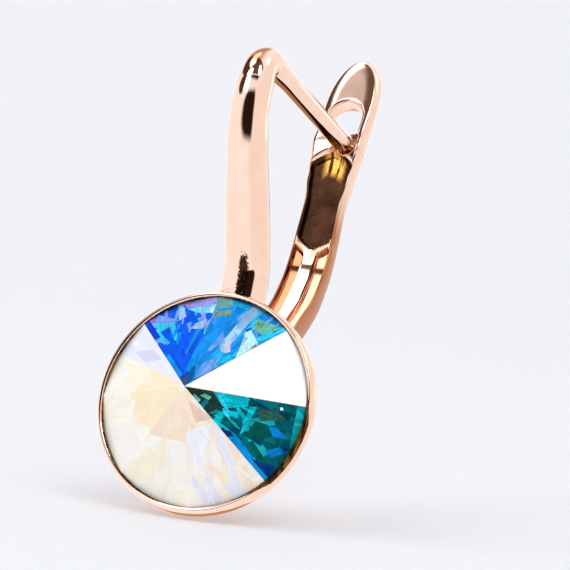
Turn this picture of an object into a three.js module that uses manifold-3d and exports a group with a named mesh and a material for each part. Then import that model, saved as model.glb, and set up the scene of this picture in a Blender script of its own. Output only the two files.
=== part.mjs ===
// A leverback drop earring: a round pointed crystal in a thin bezel cup, a curved front bar that bends
// over into the ear wire, and a hinged lever that closes against the wire's tip.
// Everything is modelled in the setting's frame: the stone faces -Y, the middle of the bezel's lip is the
// origin, and +Z runs up along the bar. At the end the whole is leaned back as it hangs on an ear, with the
// place where the ear lobe sits at the origin.
import * as THREE from "three";
import { mergeVertices } from "three/addons/utils/BufferGeometryUtils.js";
import Module from "manifold-3d";

const wasm = await Module();
wasm.setup();

// Driving dimensions, in millimetres and degrees
const stoneDiameter = 10.6; // the girdle of the crystal
const crownPoint = 2.5; // how far the crown's point stands in front of the lip
const girdleHeight = 0.3;
const pavilionDepth = 2.2;
const tableRadius = 0.07; // the point is blunted to a tiny table
const crownFacets = 8;
const pavilionFacets = 16;
const facetTurn = 4; // the crown's edges are turned this far from level

const stoneClearance = 0.08; // between the crystal and its cup
const cupWall = 0.16;
const lipOverhang = 0.1; // how far the lip reaches in over the girdle
const lipFace = 0.06; // the flat ring at the lip's front
const lipRoll = 0.45; // depth over which the lip rolls out to the cup's side
const cupBackRadius = 1.2; // the flat on the cup's back
const cupFloor = 0.35;

const barSetBack = 1.9; // the bar's axis at its foot, behind the lip
const barReach = 4.05; // how far forward of its foot the bar's top stands
const barWidth = 2.0;
const barThickness = 2.0;
const bendRadius = 1.5; // axis radius of the bend from the bar into the ear wire
const wireHeight = 17.1; // the ear wire's axis above the stone's middle
const wireLength = 11.4; // from the end of the bend to the tip
const wireRootWidth = 1.3; // the wire is still this thick where the bend ends
const wireDiameter = 1.0;
const wireTaper = 3; // length of the stretch that thins to the wire's own diameter
const wireSweep = 0.12; // the tip stands this far towards +X

const pivotHeight = 2.2; // the lever's hinge above the stone's middle
const pivotStandoff = 2.1; // the hinge behind the cup's back
const hingeRadius = 1.05; // the round ends of the lug and of the lever's cheeks
const lugThickness = 0.9;
const pinDiameter = 0.7;
const pinHead = 0.1; // what the pin shows past each cheek

const leverWidth = 2.15;
const leverThickness = 1.0;
const leverSway = -0.32; // at the wire the lever stands this far towards -X
const loopWidth = 2.95;
const loopRise = 5.35; // the lever's top above the ear wire's axis
const loopLean = 1.4; // the lever's top stands this far behind its axis at the wire
const holeWidth = 1.85;
const holeHeight = 2.0;
const panelDepth = 0.28; // the sunk panel on the lever's front
const ribHeight = 0.5; // the rib along the lever's lower stretch
const notchDepth = 0.3; // the groove that the wire's tip rests in

const runningClearance = 0.12; // between the lever's cheeks and the lug
const pinClearance = 0.07;
const tipClearance = 0.12; // between the wire's tip and its notch
const holeStandoff = 0.05; // from the wire up to the edge of the loop's hole

const hangLean = 19; // the free earring leans back this far on the ear

// Fineness of the curved surfaces
const barSteps = 30;
const bendSteps = 12;
const wireSteps = 12;
const leverSteps = 44;
const loopSteps = 8;
const roundSteps = 48;
const sectionSides = 20;

// Derived places, in the setting's frame
const stoneRadius = stoneDiameter / 2;
const lipRadius = stoneRadius - lipOverhang;
const cupBore = stoneRadius + stoneClearance;
const cupRadius = cupBore + cupWall;
const halfFacet = Math.PI / crownFacets;
// The crown's edges pass just behind the lip's inner rim, and its flats lie a little deeper.
const crownSlope = (crownPoint + stoneClearance) / (lipRadius * Math.cos(halfFacet));
const girdleFront = stoneRadius * crownSlope - crownPoint;
const girdleBack = girdleFront + girdleHeight;
const culet = girdleBack + pavilionDepth;
const cupBack = culet + stoneClearance + cupFloor;
const bendStart = wireHeight - bendRadius;
const bendCentre = barSetBack - barReach + bendRadius;
const tipPlace = bendCentre + wireLength;
const pivotPlace = cupBack + pivotStandoff;
const notchFloor = tipPlace + tipClearance;
const leverAtWire = notchFloor - notchDepth + leverThickness / 2;
const leverRise = wireHeight - pivotHeight;
const holeBottom = wireHeight + wireDiameter / 2 + holeStandoff;

const roseGold = { color: 0xe8bfa6, roughness: 0.12, metalness: 1 };
const coatedGlass = { color: 0xcfe0ee, roughness: 0.02, metalness: 0 };

// A closed geometry as a solid that can be joined and cut, with its faces turned outwards.
function solidOf(geometry) {
  const bare = geometry.clone();
  bare.deleteAttribute("normal");
  bare.deleteAttribute("uv");
  const merged = mergeVertices(bare, 1e-4);
  const vertProperties = merged.attributes.position.array;
  const triVerts = new Uint32Array(merged.index.array);
  const made = new wasm.Manifold(new wasm.Mesh({ numProp: 3, vertProperties, triVerts }));
  if (made.volume() >= 0) return made;
  const turned = triVerts.slice().reverse();
  return new wasm.Manifold(new wasm.Mesh({ numProp: 3, vertProperties, triVerts: turned }));
}

// A solid as a named mesh with its own material.
function meshOf(name, solid, look) {
  const { vertProperties, triVerts } = solid.getMesh();
  const geometry = new THREE.BufferGeometry();
  geometry.setAttribute("position", new THREE.BufferAttribute(vertProperties, 3));
  geometry.setIndex(new THREE.BufferAttribute(triVerts, 1));
  geometry.computeVertexNormals();
  const mesh = new THREE.Mesh(geometry, new THREE.MeshStandardMaterial(look));
  mesh.name = name;
  return mesh;
}

// A closed skin over rings of points that all have the same count, with a fan over each end.
function loft(rings) {
  const sides = rings[0].length;
  const middle = (ring) => ring.reduce((sum, p) => sum.add(p), new THREE.Vector3()).divideScalar(sides);
  const points = [...rings.flat(), middle(rings[0]), middle(rings.at(-1))];
  const last = (rings.length - 1) * sides;
  const foot = last + sides;
  const head = foot + 1;
  const faces = [];
  for (let i = 0; i < sides; i++) {
    const next = (i + 1) % sides;
    for (let row = 0; row < last; row += sides) {
      faces.push(row + i, row + next, row + sides + next);
      faces.push(row + i, row + sides + next, row + sides + i);
    }
    faces.push(foot, next, i);
    faces.push(head, last + i, last + next);
  }
  const geometry = new THREE.BufferGeometry().setFromPoints(points);
  geometry.setIndex(faces);
  return geometry;
}

// A section laid about a point of an axis in the (y, z) plane: u runs across X, v to the axis's back.
function ringAt(point, tangent, section) {
  const back = new THREE.Vector3(0, tangent.z, -tangent.y).normalize();
  return section.map(([u, v]) => new THREE.Vector3(u, 0, 0).add(point).addScaledVector(back, v));
}

// An oval section whose corners fill out towards a rectangle as its power grows from 2.
function ovalSection(width, thickness, power) {
  const reach = (c) => Math.sign(c) * Math.abs(c) ** (2 / power);
  return Array.from({ length: sectionSides }, (_, i) => {
    const angle = ((i + 0.5) / sectionSides) * 2 * Math.PI;
    return [(reach(Math.cos(angle)) * width) / 2, (reach(Math.sin(angle)) * thickness) / 2];
  });
}

// One column of a table at a share of the way, eased from row to row.
function column(table, name, share) {
  const found = table.findIndex((row) => row.at > share);
  const to = table[found < 0 ? table.length - 1 : Math.max(found, 1)];
  const from = table[table.indexOf(to) - 1];
  const way = THREE.MathUtils.smoothstep(share, from.at, to.at);
  return THREE.MathUtils.lerp(from[name], to[name], way);
}

// A cylinder along X whose middle is at (y, z).
function crossPin(radius, length, y, z) {
  const geometry = new THREE.CylinderGeometry(radius, radius, length, roundSteps);
  return solidOf(geometry.rotateZ(Math.PI / 2).translate(0, y, z));
}

// A solid turned about the stone's axis from points of [radius, depth behind the lip].
function turned(profile) {
  const points = profile.map(([radius, depth]) => new THREE.Vector2(radius, depth));
  return solidOf(new THREE.LatheGeometry(points, 2 * roundSteps));
}

// The crystal: a crown of flat wedges that rise to a point, a thin girdle and a faceted pavilion.
function crystal() {
  // Each cone runs on well past the girdle, so that only its own facets cut the stone.
  const overreach = 3 * stoneRadius;
  const crownHeight = (overreach - tableRadius) * crownSlope;
  const crownTop = overreach / Math.cos(halfFacet);
  const crownTable = tableRadius / Math.cos(halfFacet);
  const crown = new THREE.CylinderGeometry(crownTop, crownTable, crownHeight, crownFacets);
  crown.rotateY(-THREE.MathUtils.degToRad(facetTurn));
  crown.translate(0, overreach * crownSlope - crownPoint - crownHeight / 2, 0);
  const pavilionHeight = (overreach / stoneRadius) * pavilionDepth;
  const pavilionWidth = overreach / Math.cos(Math.PI / pavilionFacets);
  const pavilion = new THREE.ConeGeometry(pavilionWidth, pavilionHeight, pavilionFacets);
  pavilion.translate(0, culet - pavilionHeight / 2, 0);
  const girdle = new THREE.CylinderGeometry(stoneRadius, stoneRadius, 4 * crownPoint, 2 * roundSteps);
  return solidOf(girdle).intersect(solidOf(crown)).intersect(solidOf(pavilion));
}

// How deep the cup's outer cone lies at a radius from the stone's axis.
function coneDepth(radius) {
  return girdleBack + ((cupRadius - radius) * (cupBack - girdleBack)) / (cupRadius - cupBackRadius);
}

// The cup's outside, with its thin lip rolled round at the front.
function cupOutside() {
  const face = lipRadius + lipFace;
  const roll = [0, 22.5, 45, 67.5, 90].map((degrees) => {
    const angle = THREE.MathUtils.degToRad(degrees);
    return [face + (cupRadius - face) * Math.sin(angle), lipRoll * (1 - Math.cos(angle))];
  });
  return turned([[0, 0], ...roll, [cupRadius, girdleBack], [cupBackRadius, cupBack], [0, cupBack]]);
}

// The hollow that holds the stone, open at the front inside the lip.
function cupHollow() {
  const mouth = -lipRoll;
  const underLip = girdleFront - stoneClearance - lipOverhang * crownSlope;
  return turned([
    [0, mouth],
    [lipRadius, mouth],
    [lipRadius, underLip / 2],
    [cupBore, underLip],
    [cupBore, girdleBack + stoneClearance],
    [0, culet + stoneClearance],
  ]);
}

// The bar up to the bend: at is the share of its height, reach of barReach, width and thickness of theirs.
const barTable = [
  { at: 0.1, reach: 0, width: 1.16, thickness: 0.9, power: 2.5 },
  { at: 0.44, reach: 0, width: 1.12, thickness: 0.94, power: 2.5 },
  { at: 0.52, reach: 0.13, width: 1.07, thickness: 0.99, power: 2.5 },
  { at: 0.64, reach: 0.42, width: 1.02, thickness: 1.03, power: 2.5 },
  { at: 0.8, reach: 0.82, width: 0.96, thickness: 1.01, power: 2.4 },
  { at: 0.91, reach: 0.99, width: 0.91, thickness: 0.96, power: 2.3 },
  { at: 1, reach: 1, width: 0.88, thickness: 0.92, power: 2.2 },
];

// The bar, its bend and the ear wire with a round tip, as one tapering sweep.
function barAndWire() {
  const rings = [];
  const feet = barTable.map((row) => new THREE.Vector3(0, barSetBack - row.reach * barReach, row.at * bendStart));
  const rise = new THREE.CatmullRomCurve3(feet, false, "centripetal");
  for (let i = 0; i < barSteps; i++) {
    const point = rise.getPointAt(i / barSteps);
    const share = point.z / bendStart;
    const width = barWidth * column(barTable, "width", share);
    const thickness = barThickness * column(barTable, "thickness", share);
    const section = ovalSection(width, thickness, column(barTable, "power", share));
    rings.push(ringAt(point, rise.getTangentAt(i / barSteps), section));
  }
  const top = barTable.at(-1);
  for (let i = 0; i <= bendSteps; i++) {
    const way = i / bendSteps;
    const angle = (way * Math.PI) / 2;
    const y = bendCentre - bendRadius * Math.cos(angle);
    const z = bendStart + bendRadius * Math.sin(angle);
    const width = THREE.MathUtils.lerp(barWidth * top.width, wireRootWidth, way);
    const thickness = THREE.MathUtils.lerp(barThickness * top.thickness, wireRootWidth, way);
    const section = ovalSection(width, thickness, THREE.MathUtils.lerp(top.power, 2, way));
    rings.push(ringAt(new THREE.Vector3(0, y, z), new THREE.Vector3(0, Math.sin(angle), Math.cos(angle)), section));
  }
  const straight = new THREE.Vector3(0, 1, 0);
  const wireRing = (run, diameter) => {
    const point = new THREE.Vector3((wireSweep * run) / wireLength, bendCentre + run, wireHeight);
    rings.push(ringAt(point, straight, ovalSection(diameter, diameter, 2)));
  };
  const roundStart = wireLength - wireDiameter / 2;
  for (let i = 1; i <= wireSteps; i++) {
    const run = (roundStart * i) / wireSteps;
    const thinned = THREE.MathUtils.smoothstep(run, 0, wireTaper);
    wireRing(run, THREE.MathUtils.lerp(wireRootWidth, wireDiameter, thinned));
  }
  for (const degrees of [25, 50, 70, 85]) {
    const angle = THREE.MathUtils.degToRad(degrees);
    wireRing(roundStart + (wireDiameter / 2) * Math.sin(angle), wireDiameter * Math.cos(angle));
  }
  return solidOf(loft(rings));
}

// The hinge lug: a plate that stands out of the cup's back and ends round about the pin.
function lug() {
  const top = pivotHeight + hingeRadius;
  const outline = new THREE.Shape();
  outline.moveTo(cupBack - cupFloor, -hingeRadius);
  outline.lineTo(pivotPlace, pivotHeight - hingeRadius);
  outline.absarc(pivotPlace, pivotHeight, hingeRadius, -Math.PI / 2, Math.PI / 2, false);
  outline.lineTo(coneDepth(top) - cupWall, top);
  const geometry = new THREE.ExtrudeGeometry(outline, { depth: lugThickness, bevelEnabled: false });
  // The outline's x and y become depth and height, and the plate's thickness runs across X.
  const stand = new THREE.Matrix4().set(0, 0, 1, -lugThickness / 2, 1, 0, 0, 0, 0, 1, 0, 0, 0, 0, 0, 1);
  return solidOf(geometry.applyMatrix4(stand));
}

function pinBore() {
  return crossPin(pinDiameter / 2 + pinClearance, 3 * leverWidth, pivotPlace, pivotHeight);
}

// Cup, bar, ear wire and lug are soldered into one piece.
function setting() {
  const outside = cupOutside().add(barAndWire()).add(lug());
  return outside.subtract(cupHollow()).subtract(pinBore());
}

// The lever from its hinge up to the ear wire: at is the share of that height, back the share of the way
// back from the hinge, and width, thickness, panel and rib are shares of the sizes named for them.
const leverTable = [
  { at: 0, back: 0, width: 1, thickness: 1.3, panel: 0, rib: 0 },
  { at: 0.12, back: 0.2, width: 1, thickness: 1.3, panel: 0.1, rib: 0.2 },
  { at: 0.24, back: 0.42, width: 1.02, thickness: 1.25, panel: 1, rib: 1 },
  { at: 0.375, back: 0.7, width: 1.05, thickness: 1.15, panel: 1, rib: 1 },
  { at: 0.49, back: 0.84, width: 1.04, thickness: 1.08, panel: 1, rib: 1 },
  { at: 0.57, back: 0.89, width: 1.03, thickness: 1.04, panel: 1, rib: 0.9 },
  { at: 0.63, back: 0.91, width: 1.01, thickness: 1.02, panel: 1, rib: 0 },
  { at: 0.77, back: 0.945, width: 0.97, thickness: 1, panel: 1, rib: 0 },
  { at: 0.86, back: 0.965, width: 1.11, thickness: 1, panel: 1, rib: 0 },
  { at: 0.93, back: 0.985, width: 1.24, thickness: 1, panel: 1, rib: 0 },
  { at: 0.97, back: 0.993, width: 1.3, thickness: 1, panel: 0, rib: 0 },
  { at: 1, back: 1, width: 1.34, thickness: 1, panel: 0, rib: 0 },
];
const loopMiddle = 0.44; // the loop is widest at this share of its rise

// The lever's section: a rail along each edge, the sunk panel between them and the rib on the middle.
function leverSection(width, thickness, panel, rib) {
  const front = [
    [1, 0.16 * thickness],
    [0.87, 0],
    [0.7, 0],
    [0.6, panel],
    [0.36, panel],
    [0.26, panel - 0.8 * rib],
    [0.12, panel - rib],
  ].map(([u, v]) => [(u * width) / 2, v - thickness / 2]);
  const back = [
    [1, 0.16 * thickness],
    [0.87, 0],
    [0.4, -0.04 * thickness],
  ].map(([u, v]) => [(u * width) / 2, thickness / 2 - v]);
  const mirrored = (half) => half.map(([u, v]) => [-u, v]);
  return [...mirrored(front), ...[...front].reverse(), ...back, ...mirrored(back).reverse()];
}

// How far the lever stands across X at a height.
function swayAt(height) {
  return leverSway * Math.min(1, (height - pivotHeight) / leverRise);
}

function leverBody() {
  const back = leverAtWire - pivotPlace;
  const axis = leverTable.map(
    (row) => new THREE.Vector3(0, pivotPlace + row.back * back, pivotHeight + row.at * leverRise),
  );
  const curve = new THREE.CatmullRomCurve3(axis, false, "centripetal");
  const rings = [];
  for (let i = 0; i <= leverSteps; i++) {
    const point = curve.getPointAt(i / leverSteps);
    const share = (point.z - pivotHeight) / leverRise;
    const value = (name) => column(leverTable, name, share);
    const section = leverSection(
      leverWidth * value("width"),
      leverThickness * value("thickness"),
      panelDepth * value("panel"),
      ribHeight * value("rib"),
    );
    point.x = swayAt(point.z);
    rings.push(ringAt(point, curve.getTangentAt(i / leverSteps), section));
  }
  const loopRing = (share, width) => {
    const height = wireHeight + share * loopRise;
    const point = new THREE.Vector3(swayAt(height), leverAtWire + share * loopLean, height);
    rings.push(ringAt(point, new THREE.Vector3(0, loopLean, loopRise), leverSection(width, leverThickness, 0, 0)));
  };
  const shoulder = leverWidth * leverTable.at(-1).width;
  for (let i = 1; i < loopSteps; i++) {
    const way = i / loopSteps;
    loopRing(way * loopMiddle, THREE.MathUtils.lerp(shoulder, loopWidth, Math.sin((way * Math.PI) / 2)));
  }
  for (let i = 0; i < loopSteps; i++) {
    const angle = (i / (loopSteps - 0.4)) * (Math.PI / 2);
    loopRing(loopMiddle + (1 - loopMiddle) * Math.sin(angle), loopWidth * Math.cos(angle));
  }
  return solidOf(loft(rings));
}

// An outline in (x, z) cut through everything between two depths.
function frontCut(outline, from, to) {
  const geometry = new THREE.ExtrudeGeometry(outline, { depth: to - from, bevelEnabled: false });
  return solidOf(geometry.rotateX(Math.PI / 2).translate(0, to, 0));
}

// The loop's hole: straight below and arched above.
function loopHole() {
  const middle = swayAt(holeBottom + holeHeight / 2);
  const side = holeWidth / 2;
  const spring = holeBottom + holeHeight / 2;
  const outline = new THREE.Shape();
  outline.moveTo(middle - side, holeBottom);
  outline.lineTo(middle + side, holeBottom);
  outline.lineTo(middle + side, spring);
  outline.absellipse(middle, spring, side, holeHeight / 2, 0, Math.PI, false, 0);
  return frontCut(outline, 0, 2 * tipPlace);
}

// The notch for the wire's tip: round below, and open into the loop's hole above.
function tipNotch() {
  const side = wireDiameter / 2 + tipClearance;
  const outline = new THREE.Shape();
  outline.absarc(wireSweep, wireHeight, side, Math.PI, 2 * Math.PI, false);
  outline.lineTo(wireSweep + side, holeBottom + side);
  outline.lineTo(wireSweep - side, holeBottom + side);
  return frontCut(outline, 0, notchFloor);
}

function lever() {
  const cheeks = crossPin(hingeRadius, leverWidth, pivotPlace, pivotHeight);
  const fork = crossPin(
    hingeRadius + runningClearance,
    lugThickness + 2 * runningClearance,
    pivotPlace,
    pivotHeight,
  );
  const blank = leverBody().add(cheeks);
  return blank.subtract(fork).subtract(pinBore()).subtract(loopHole()).subtract(tipNotch());
}

function hingePin() {
  return crossPin(pinDiameter / 2, leverWidth + 2 * pinHead, pivotPlace, pivotHeight);
}

// The earring hangs with the lobe under the bend, at the origin.
const lobeRest = new THREE.Vector3(0, bendCentre, wireHeight - wireRootWidth / 2);
const leaned = new THREE.Group();
leaned.add(meshOf("setting", setting(), roseGold));
leaned.add(meshOf("crystal", crystal(), coatedGlass));
leaned.add(meshOf("lever", lever(), roseGold));
leaned.add(meshOf("hinge_pin", hingePin(), roseGold));
leaned.rotation.x = -THREE.MathUtils.degToRad(hangLean);
leaned.position.copy(lobeRest).negate().applyEuler(leaned.rotation);

const earring = new THREE.Group();
earring.add(leaned);

export default earring;
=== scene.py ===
# %% [markdown]
# # A leverback drop earring with a pointed crystal
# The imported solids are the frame: they hold the real sizes, the hinge and what moves. This file dresses
# them. It builds smooth copies of the same forms, gives them polished metal and coated glass, and sets
# them in a small white studio like the ones that jewellery is photographed in.

# %% Load the frame
import math
import bmesh
import bpy
import numpy as np
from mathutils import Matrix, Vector


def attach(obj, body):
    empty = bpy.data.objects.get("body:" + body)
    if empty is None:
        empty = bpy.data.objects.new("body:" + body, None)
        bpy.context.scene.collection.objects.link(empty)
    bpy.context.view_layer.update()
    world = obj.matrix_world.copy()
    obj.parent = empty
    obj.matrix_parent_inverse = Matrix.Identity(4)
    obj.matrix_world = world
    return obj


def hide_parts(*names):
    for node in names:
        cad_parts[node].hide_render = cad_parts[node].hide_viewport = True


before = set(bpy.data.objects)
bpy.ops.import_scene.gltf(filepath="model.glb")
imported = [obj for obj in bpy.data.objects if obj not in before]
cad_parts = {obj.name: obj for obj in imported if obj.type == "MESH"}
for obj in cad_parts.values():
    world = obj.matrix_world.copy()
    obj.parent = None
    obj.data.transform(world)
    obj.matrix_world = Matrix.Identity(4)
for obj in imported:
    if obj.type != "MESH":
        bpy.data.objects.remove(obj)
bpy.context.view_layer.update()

print("CAD nodes:", sorted(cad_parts))

# %% [markdown]
# ## Sizes
# A maker works from one list of sizes. These are the earring's, in millimetres, in the setting's own
# frame: the middle of the bezel's lip is the origin, the stone faces -Y, and +Z runs up along the bar.
# They repeat the part's sizes, so each smooth piece lands where its solid is.

# %% Sizes of the earring
STONE_RADIUS, CROWN_POINT, GIRDLE_HEIGHT, PAVILION_DEPTH = 5.3, 2.5, 0.3, 2.2
CROWN_FACETS, PAVILION_FACETS, FACET_TURN = 8, 16, 4
CLEARANCE, LIP_OVERHANG, LIP_ROLL, CUP_WALL = 0.08, 0.1, 0.45, 0.16
CUP_BACK_RADIUS, CUP_FLOOR = 1.2, 0.35
BAR_SET_BACK, BAR_REACH, BAR_WIDTH, BAR_THICKNESS = 1.9, 4.05, 2.0, 2.0
BEND_RADIUS, WIRE_HEIGHT, WIRE_LENGTH = 1.5, 17.1, 11.4
WIRE_ROOT, WIRE_DIAMETER, WIRE_TAPER, WIRE_SWEEP = 1.3, 1.0, 3.0, 0.12
PIVOT_HEIGHT, PIVOT_STANDOFF, HINGE_RADIUS = 2.2, 2.1, 1.05
LUG_THICKNESS, PIN_DIAMETER, PIN_HEAD, PIN_CLEARANCE, FORK_CLEARANCE = 0.9, 0.7, 0.1, 0.07, 0.12
LEVER_WIDTH, LEVER_THICKNESS, LEVER_SWAY = 2.15, 1.0, -0.32
LOOP_WIDTH, LOOP_RISE, LOOP_LEAN, LOOP_MIDDLE = 2.95, 5.35, 1.4, 0.44
HOLE_WIDTH, HOLE_HEIGHT, HOLE_STANDOFF = 1.85, 2.0, 0.05
PANEL_DEPTH, RIB_HEIGHT, NOTCH_DEPTH, TIP_CLEARANCE = 0.28, 0.5, 0.3, 0.12
HANG_LEAN = math.radians(19)

# %% Places that follow from the sizes
lip_radius = STONE_RADIUS - LIP_OVERHANG
cup_bore = STONE_RADIUS + CLEARANCE
cup_radius = cup_bore + CUP_WALL
crown_slope = (CROWN_POINT + CLEARANCE) / (lip_radius * math.cos(math.pi / CROWN_FACETS))
girdle_front = STONE_RADIUS * crown_slope - CROWN_POINT
girdle_back = girdle_front + GIRDLE_HEIGHT
culet = girdle_back + PAVILION_DEPTH
cup_back = culet + CLEARANCE + CUP_FLOOR
bend_start = WIRE_HEIGHT - BEND_RADIUS
bend_centre = BAR_SET_BACK - BAR_REACH + BEND_RADIUS
tip_place = bend_centre + WIRE_LENGTH
pivot_place = cup_back + PIVOT_STANDOFF
lever_at_wire = tip_place + TIP_CLEARANCE - NOTCH_DEPTH + LEVER_THICKNESS / 2
lever_rise = WIRE_HEIGHT - PIVOT_HEIGHT
hole_bottom = WIRE_HEIGHT + WIRE_DIAMETER / 2 + HOLE_STANDOFF
lobe_rest = np.array([0, bend_centre, WIRE_HEIGHT - WIRE_ROOT / 2])
print(f"wire tip at {tip_place:.2f} mm, hinge at {pivot_place:.2f} mm, lever at {lever_at_wire:.2f} mm")


# %% [markdown]
# ## Helpers
# The earring hangs leaned back on the ear, so every point is turned about the place where the lobe sits
# and scaled to metres. Most forms here are sweeps: a row of rings joined by a skin.

# %% From the setting's frame to the row's frame
def hang(points):
    x, y, z = (np.asarray(points, float) - lobe_rest).T
    c, s = math.cos(HANG_LEAN), math.sin(HANG_LEAN)
    return np.column_stack([x, c * y + s * z, c * z - s * y]) / 1000


# %% A table from its column names and its rows, read with soft steps from row to row
def rows_of(names, *rows):
    return [dict(zip(names.split(), row)) for row in rows]


def ease(x, start, end):
    t = np.clip((x - start) / (end - start), 0, 1)
    return t * t * (3 - 2 * t)


def column(table, name, share):
    value = np.full(np.shape(share), float(table[0][name]))
    for row, next_row in zip(table, table[1:]):
        way = ease(share, row["at"], next_row["at"])
        value = np.where(share >= row["at"], row[name] + (next_row[name] - row[name]) * way, value)
    return value


# %% A smooth curve through points, even along its length
def curve_through(points, count):
    p = np.asarray(points, float)
    p = np.vstack([2 * p[0] - p[1], p, 2 * p[-1] - p[-2]])
    knots = np.r_[0, np.cumsum(np.linalg.norm(np.diff(p, axis=0), axis=1) ** 0.5)]
    fine = []
    for i in range(1, len(p) - 2):
        t = np.linspace(knots[i], knots[i + 1], 60)[:, None]
        k = knots[i - 1:i + 3]
        a = [((k[j + 1] - t) * p[i - 1 + j] + (t - k[j]) * p[i + j]) / (k[j + 1] - k[j]) for j in range(3)]
        b = [((k[j + 2] - t) * a[j] + (t - k[j]) * a[j + 1]) / (k[j + 2] - k[j]) for j in range(2)]
        fine.append(((k[2] - t) * b[0] + (t - k[1]) * b[1]) / (k[2] - k[1]))
    return resampled(np.vstack(fine), count)


def resampled(line, count):
    run = np.r_[0, np.cumsum(np.linalg.norm(np.diff(line, axis=0), axis=1))]
    even = np.linspace(0, run[-1], count)
    return np.column_stack([np.interp(even, run, axis) for axis in line.T])


# %% A skin over closed rings, with a face over each end
def skin(rings):
    rings = np.asarray(rings)
    count, sides = rings.shape[:2]
    index = np.arange(count * sides).reshape(count, sides)
    turned = np.roll(index, -1, axis=1)
    quads = np.stack([index[:-1], turned[:-1], turned[1:], index[1:]], axis=-1).reshape(-1, 4)
    return rings.reshape(-1, 3), [*quads.tolist(), index[0][::-1].tolist(), index[-1].tolist()]


# %% A named piece of the earring from points and faces
def make_piece(name, points, faces, finish, body, node, crease=None):
    mesh = bpy.data.meshes.new(name)
    mesh.from_pydata(hang(points).tolist(), [], faces)
    shaped = bmesh.new()
    shaped.from_mesh(mesh)
    bmesh.ops.recalc_face_normals(shaped, faces=shaped.faces)
    shaped.to_mesh(mesh)
    shaped.free()
    mesh.shade_smooth()
    if crease is not None:
        mesh.set_sharp_from_angle(angle=math.radians(crease))
    mesh.materials.append(finish)
    made = bpy.data.objects.new(name, mesh)
    bpy.context.collection.objects.link(made)
    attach(made, body)
    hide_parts(node)
    print(f"{name}: {len(mesh.polygons)} faces")
    return made


# %% [markdown]
# ## Camera
# The camera stands about 14 cm in front of the stone, a little to its right, and looks slightly down,
# with a long lens, as for a close-up of jewellery. Its place comes from the outline of the round stone
# in the photograph, which a tilted circle gives away.

# %% The camera
camera = bpy.data.objects.new("camera", bpy.data.cameras.new("camera"))
bpy.context.collection.objects.link(camera)
camera.location = Vector((53.15, -130.465, -2.216)) / 1000
camera.rotation_euler = [math.radians(angle) for angle in (86.766, -5.225, 21.776)]
camera.data.sensor_width = 36
camera.data.lens = 180.84
camera.data.clip_start = 0.01
camera.data.clip_end = 10
bpy.context.scene.camera = camera


# %% [markdown]
# ## Nodes and colours
# Colours are picked as sRGB hex values, and the shaders want linear light, so one function turns them.
# One small function adds a node with its settings and its links.

# %% Colour and node helpers
def linear(hex_value):
    parts = [int(hex_value[i:i + 2], 16) / 255 for i in (1, 3, 5)]
    return (*[c / 12.92 if c <= 0.04045 else ((c + 0.055) / 1.055) ** 2.4 for c in parts], 1.0)


def add(tree, kind, inputs=None, **settings):
    node = tree.nodes.new(kind)
    for name, value in settings.items():
        setattr(node, name, value)
    for name, value in (inputs or {}).items():
        if isinstance(value, bpy.types.NodeSocket):
            tree.links.new(value, node.inputs[name])
        else:
            node.inputs[name].default_value = value
    return node


def new_material(name):
    material = bpy.data.materials.new(name)
    material.use_nodes = True
    return material, material.node_tree, material.node_tree.nodes["Principled BSDF"]


# %% [markdown]
# ## Studio
# Polished metal has hardly a colour of its own: it shows the room. A jewellery studio is a white tent,
# which turns the metal pale. The opening that the camera looks through, a curtain and the ceiling draw
# the dark lines, and softboxes burn out to white. Such a room could be built from cards and lamps. Here
# it is painted on the world by direction, so a patch is placed by its angles alone and none of them
# stands in the way of another view. The floor runs up into the backdrop in one sweep, without a horizon.

# %% What the metal sees in the tent
# Angles are in degrees, each a middle and a half width. Azimuth 0 is in front of the stone and grows
# to the right. A higher power squares a patch's corners, and soft is how far its edge fades.
ROOM = rows_of(
    "part azimuth elevation power soft tone light",
    ("side wall", (100, 75), (-12, 55), 4, 0.5, "#FFFCFA", 1.1),
    ("warm wall behind", (-150, 22), (42, 12), 4, 0.4, "#F6DCC6", 1.0),
    ("ceiling", (-18, 94), (74, 27), 8, 0.2, "#D8B090", 0.2),
    ("dark curtain on the left", (-84, 40), (40, 13), 4, 0.3, "#C09A80", 0.14),
    ("opening for the camera", (10, 32), (16, 25), 4, 0.3, "#E0A080", 0.03),
    ("softbox on the left", (-34, 13), (47, 11), 4, 0.2, "#FFFFFF", 3.0),
    ("strip lamp above", (-99, 48), (64, 10), 8, 0.2, "#FFFFFF", 3.0),
    ("softbox on the right", (46, 12), (57, 12), 4, 0.2, "#FFFFFF", 5.0),
    ("softbox behind", (124, 12), (50, 9), 3, 0.3, "#FFFFFF", 2.4),
    ("glint behind", (158, 6), (4, 3), 3, 0.3, "#FFFFFF", 1.7),
    ("warm shade low behind", (-161, 21), (-39, 19), 3, 0.3, "#DAAA7C", 0.9),
)
# How bright the tent's own cloth is in a reflection, and as a light.
TENT_SEEN, TENT_FILL = 1.25, 0.67
print(f"{len(ROOM)} patches in the painted room")

# %% The direction that the world is looked at in, as two angles
world = bpy.data.worlds.new("white_tent")
world.use_nodes = True
bpy.context.scene.world = world
bpy.context.scene.view_settings.view_transform = "Standard"
tree = world.node_tree
outward = add(tree, "ShaderNodeTexCoord").outputs["Generated"]
direction = add(tree, "ShaderNodeSeparateXYZ", {"Vector": outward})
x, y, z = (direction.outputs[axis_name] for axis_name in "XYZ")
backwards = add(tree, "ShaderNodeMath", {0: y, 1: -1.0}, operation="MULTIPLY").outputs[0]
azimuth = add(tree, "ShaderNodeMath", {0: x, 1: backwards}, operation="ARCTAN2").outputs[0]
elevation = add(tree, "ShaderNodeMath", {0: z}, operation="ARCSINE").outputs[0]


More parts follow.
